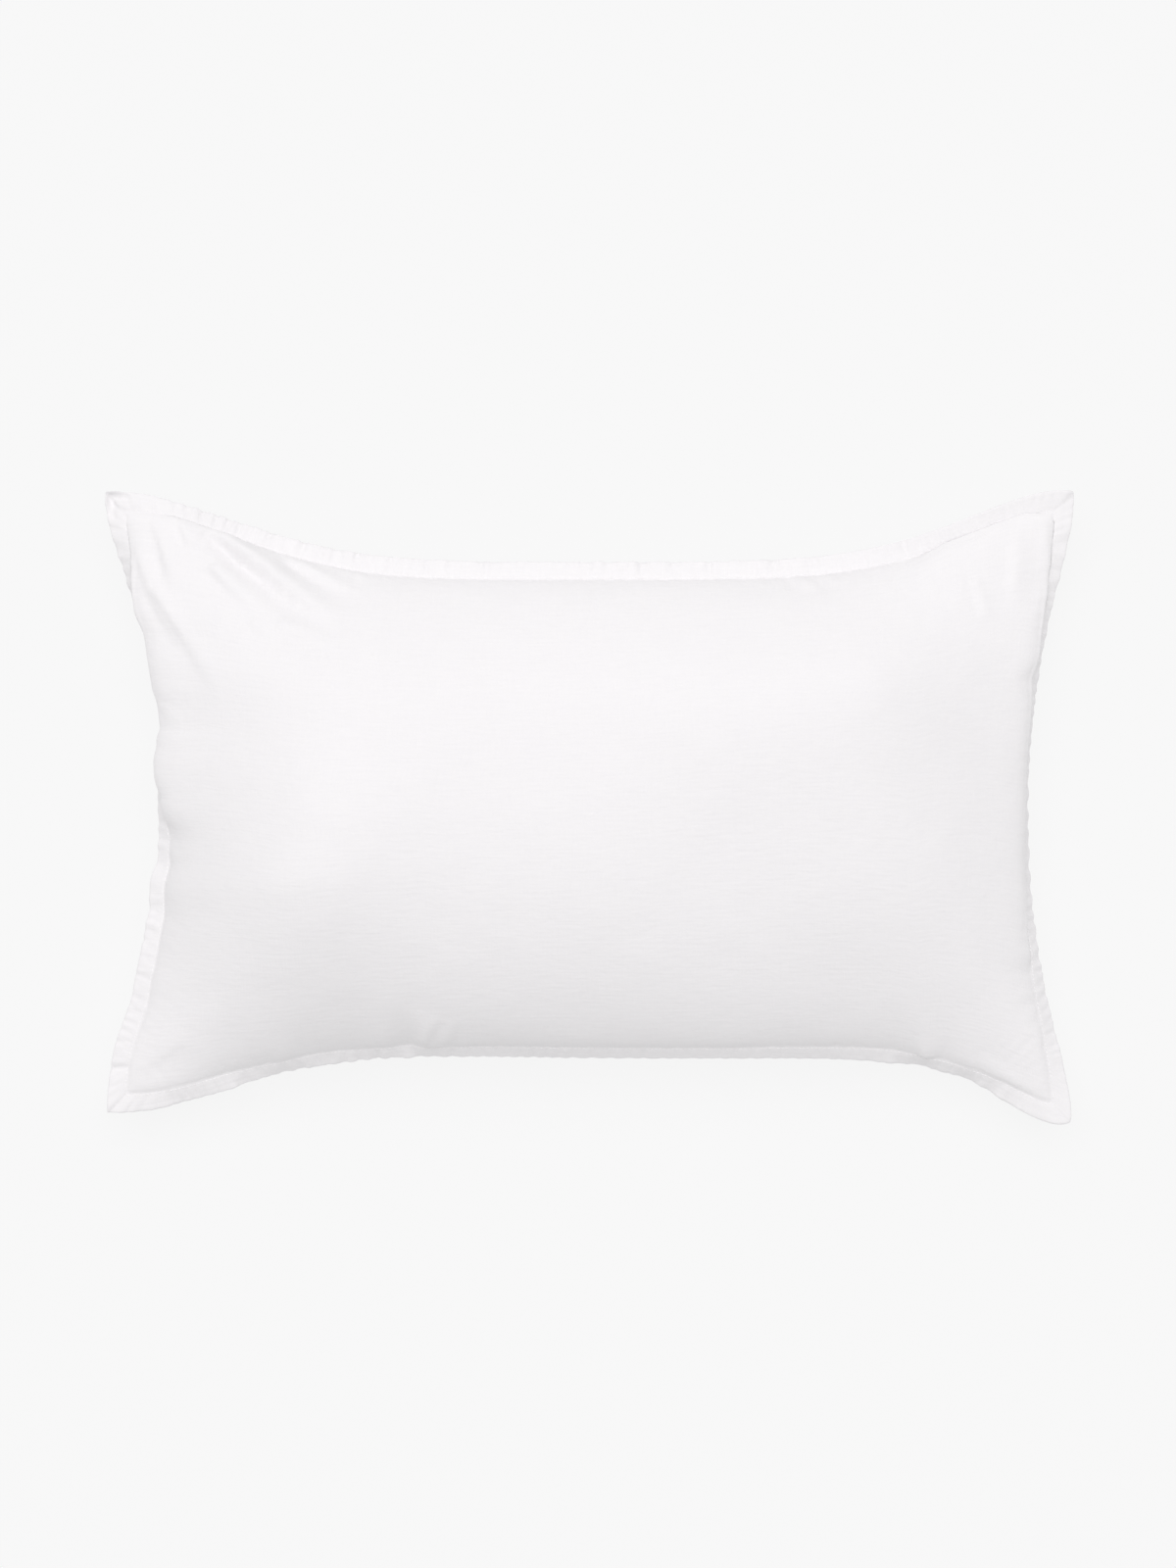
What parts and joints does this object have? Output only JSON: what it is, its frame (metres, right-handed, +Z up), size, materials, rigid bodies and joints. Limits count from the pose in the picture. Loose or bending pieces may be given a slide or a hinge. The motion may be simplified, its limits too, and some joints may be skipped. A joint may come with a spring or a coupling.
{
  "type": "pillowcase",
  "caption": "Rectangular washed linen pillowcase, filled and lying on its back, with drawn-in sides and a narrow topstitched flange all round.",
  "frame": {"origin": "on the surface it lies on, under the middle of the case's bounding box", "axes": "+X along the long sides, +Y along the short sides towards the top edge, +Z up out of the front face"},
  "size_m": [0.7354, 0.4802, 0.1811],
  "materials": {
    "white_linen": "matt washed linen with a fine uneven plain weave"
  },
  "bodies": {
    "root": {"pillowcase": "white_linen"}
  },
  "joints": []
}
